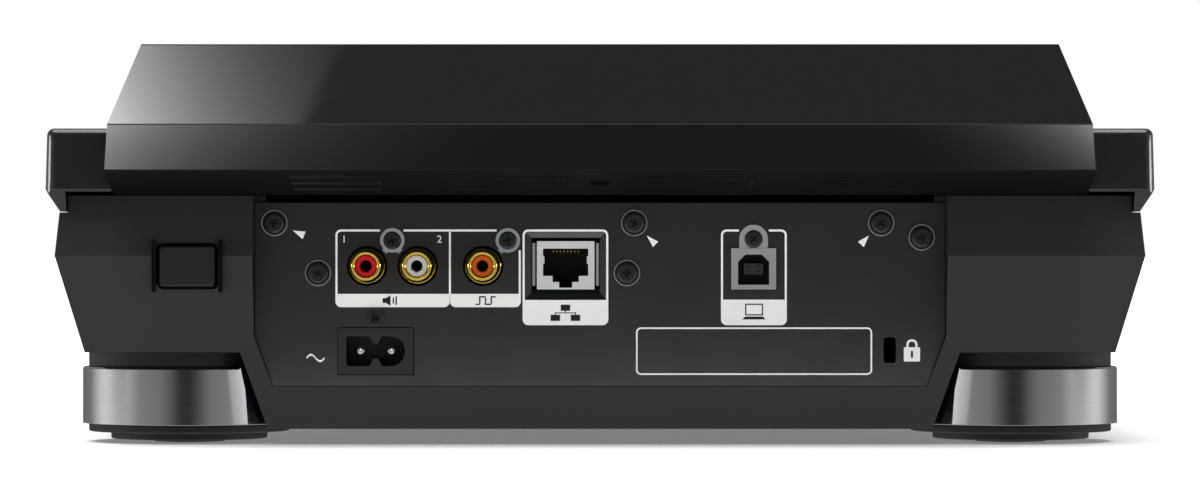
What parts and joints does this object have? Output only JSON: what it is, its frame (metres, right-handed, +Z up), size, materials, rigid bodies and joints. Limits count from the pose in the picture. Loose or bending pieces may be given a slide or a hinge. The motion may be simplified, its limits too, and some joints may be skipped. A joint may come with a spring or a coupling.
{
  "type": "dj media player",
  "caption": "Table-top music player for mixing: a flat deck with a jog wheel, keys and a tempo fader, a sloping display hood behind it and sockets at the rear, on round feet.",
  "frame": {"origin": "on the table, under the middle of the player's outline", "axes": "+Z up, +Y to the rear with the sockets, +X to the right of someone standing at the front"},
  "size_m": [0.3056, 0.385, 0.1109],
  "materials": {
    "textured_black": "fine moulded texture",
    "gloss_black": "polished",
    "panel_paint": "satin powder coat",
    "screen": "polished",
    "lcd": "dark display",
    "foot_metal": "spun and polished",
    "rubber": "matt",
    "black_steel": "black zinc",
    "gold": "gold plated",
    "red_plastic": "moulded",
    "white_plastic": "moulded",
    "orange_plastic": "moulded",
    "tin": "tin plated",
    "socket_black": "moulded",
    "board": "solder mask",
    "bearing_steel": "ground",
    "jog_plastic": "moulded",
    "jog_face": "spun",
    "knob_black": "moulded",
    "key_grey": "moulded"
  },
  "bodies": {
    "housing": {"bottom_case": "textured_black", "case_screws": "black_steel", "control_pots": "socket_black", "display_bezel": "gloss_black", "display_hood": "gloss_black", "fader_body": "socket_black", "foot_collars": "rubber", "foot_pads": "rubber", "foot_rings": "foot_metal", "inlet_housing": "socket_black", "inlet_pins": "gold", "jack_tabs": "tin", "jog_base": "jog_plastic", "jog_bearing": "bearing_steel", "jog_display": "lcd", "key_boards": "board", "lan_insert": "socket_black", "lan_shield": "tin", "lcd_panel": "lcd", "main_board": "board", "orange_insulator": "orange_plastic", "panel_screws": "black_steel", "power_board": "board", "power_switch": "socket_black", "rca_blocks": "socket_black", "rca_sleeves": "gold", "rear_panel": "panel_paint", "red_insulator": "red_plastic", "screen_glass": "screen", "tact_switches": "socket_black", "top_cover": "textured_black", "usb_port": "tin", "usb_shell": "tin", "usb_tongue": "socket_black", "white_insulator": "white_plastic"},
    "jog_wheel": {"jog_wheel": "jog_plastic", "jog_plate": "jog_face"},
    "tempo_knob": {"tempo_knob": "knob_black"},
    "browse_shaft": {"browse_shaft": "bearing_steel"},
    "browse_knob": {"browse_knob": "knob_black"},
    "direction_lever": {"direction_lever": "knob_black"},
    "power_button": {"power_button": "textured_black"},
    "jog_adjust_knob": {"jog_adjust_knob": "knob_black"},
    "brake_knob": {"brake_knob": "knob_black"},
    "play_button": {"play_button": "key_grey"},
    "cue_button": {"cue_button": "key_grey"},
    "search_back_button": {"search_back_button": "key_grey"},
    "search_forward_button": {"search_forward_button": "key_grey"},
    "track_back_button": {"track_back_button": "key_grey"},
    "track_forward_button": {"track_forward_button": "key_grey"},
    "hot_cue_a_button": {"hot_cue_a_button": "key_grey"},
    "hot_cue_b_button": {"hot_cue_b_button": "key_grey"},
    "hot_cue_c_button": {"hot_cue_c_button": "key_grey"},
    "loop_in_button": {"loop_in_button": "key_grey"},
    "loop_out_button": {"loop_out_button": "key_grey"},
    "reloop_button": {"reloop_button": "key_grey"},
    "sync_button": {"sync_button": "key_grey"},
    "master_tempo_button": {"master_tempo_button": "key_grey"},
    "back_button": {"back_button": "key_grey"},
    "menu_button": {"menu_button": "key_grey"}
  },
  "joints": [
    {"name": "jog_spin", "type": "hinge", "parent": "housing", "child": "jog_wheel", "pos_m": [0, -0.076, 0.0957], "axis": [0, 0, 1], "continuous": true},
    {"name": "tempo_slide", "type": "slide", "parent": "housing", "child": "tempo_knob", "axis": [0, 1, 0], "range_m": [-0.045, 0.045]},
    {"name": "browse_press", "type": "slide", "parent": "housing", "child": "browse_shaft", "axis": [0, 0.2063, -0.9785], "range_m": [0, 0.0008], "stiffness_N_per_m": 600, "springref_m": -0.0004},
    {"name": "browse_turn", "type": "hinge", "parent": "browse_shaft", "child": "browse_knob", "pos_m": [0.09673, 0.11344, 0.09686], "axis": [0, -0.2063, 0.9785], "continuous": true},
    {"name": "direction_slide", "type": "slide", "parent": "housing", "child": "direction_lever", "axis": [0, 1, 0], "range_m": [-0.004, 0.004]},
    {"name": "power_press", "type": "slide", "parent": "housing", "child": "power_button", "axis": [0, -1, 0], "range_m": [0, 0.003], "stiffness_N_per_m": 600, "springref_m": -0.0004},
    {"name": "jog_adjust_turn", "type": "hinge", "parent": "housing", "child": "jog_adjust_knob", "pos_m": [0.13754, 0.04139, 0.0877], "axis": [0, 0, 1], "range_deg": [-140, 140]},
    {"name": "brake_turn", "type": "hinge", "parent": "housing", "child": "brake_knob", "pos_m": [0.11003, 0.04813, 0.0877], "axis": [0, 0, 1], "range_deg": [-140, 140]},
    {"name": "play_press", "type": "slide", "parent": "housing", "child": "play_button", "axis": [0, 0, -1], "range_m": [0, 0.0012], "stiffness_N_per_m": 600, "springref_m": -0.0004},
    {"name": "cue_press", "type": "slide", "parent": "housing", "child": "cue_button", "axis": [0, 0, -1], "range_m": [0, 0.0012], "stiffness_N_per_m": 600, "springref_m": -0.0004},
    {"name": "search_back_press", "type": "slide", "parent": "housing", "child": "search_back_button", "axis": [0, 0, -1], "range_m": [0, 0.0012], "stiffness_N_per_m": 600, "springref_m": -0.0004},
    {"name": "search_forward_press", "type": "slide", "parent": "housing", "child": "search_forward_button", "axis": [0, 0, -1], "range_m": [0, 0.0012], "stiffness_N_per_m": 600, "springref_m": -0.0004},
    {"name": "track_back_press", "type": "slide", "parent": "housing", "child": "track_back_button", "axis": [0, 0, -1], "range_m": [0, 0.0012], "stiffness_N_per_m": 600, "springref_m": -0.0004},
    {"name": "track_forward_press", "type": "slide", "parent": "housing", "child": "track_forward_button", "axis": [0, 0, -1], "range_m": [0, 0.0012], "stiffness_N_per_m": 600, "springref_m": -0.0004},
    {"name": "hot_cue_a_press", "type": "slide", "parent": "housing", "child": "hot_cue_a_button", "axis": [0, 0, -1], "range_m": [0, 0.0012], "stiffness_N_per_m": 600, "springref_m": -0.0004},
    {"name": "hot_cue_b_press", "type": "slide", "parent": "housing", "child": "hot_cue_b_button", "axis": [0, 0, -1], "range_m": [0, 0.0012], "stiffness_N_per_m": 600, "springref_m": -0.0004},
    {"name": "hot_cue_c_press", "type": "slide", "parent": "housing", "child": "hot_cue_c_button", "axis": [0, 0, -1], "range_m": [0, 0.0012], "stiffness_N_per_m": 600, "springref_m": -0.0004},
    {"name": "loop_in_press", "type": "slide", "parent": "housing", "child": "loop_in_button", "axis": [0, 0, -1], "range_m": [0, 0.0012], "stiffness_N_per_m": 600, "springref_m": -0.0004},
    {"name": "loop_out_press", "type": "slide", "parent": "housing", "child": "loop_out_button", "axis": [0, 0, -1], "range_m": [0, 0.0012], "stiffness_N_per_m": 600, "springref_m": -0.0004},
    {"name": "reloop_press", "type": "slide", "parent": "housing", "child": "reloop_button", "axis": [0, 0, -1], "range_m": [0, 0.0012], "stiffness_N_per_m": 600, "springref_m": -0.0004},
    {"name": "sync_press", "type": "slide", "parent": "housing", "child": "sync_button", "axis": [0, 0, -1], "range_m": [0, 0.0012], "stiffness_N_per_m": 600, "springref_m": -0.0004},
    {"name": "master_tempo_press", "type": "slide", "parent": "housing", "child": "master_tempo_button", "axis": [0, 0, -1], "range_m": [0, 0.0012], "stiffness_N_per_m": 600, "springref_m": -0.0004},
    {"name": "back_press", "type": "slide", "parent": "housing", "child": "back_button", "axis": [0, 0.2063, -0.9785], "range_m": [0, 0.0012], "stiffness_N_per_m": 600, "springref_m": -0.0004},
    {"name": "menu_press", "type": "slide", "parent": "housing", "child": "menu_button", "axis": [0, 0.2063, -0.9785], "range_m": [0, 0.0012], "stiffness_N_per_m": 600, "springref_m": -0.0004}
  ]
}
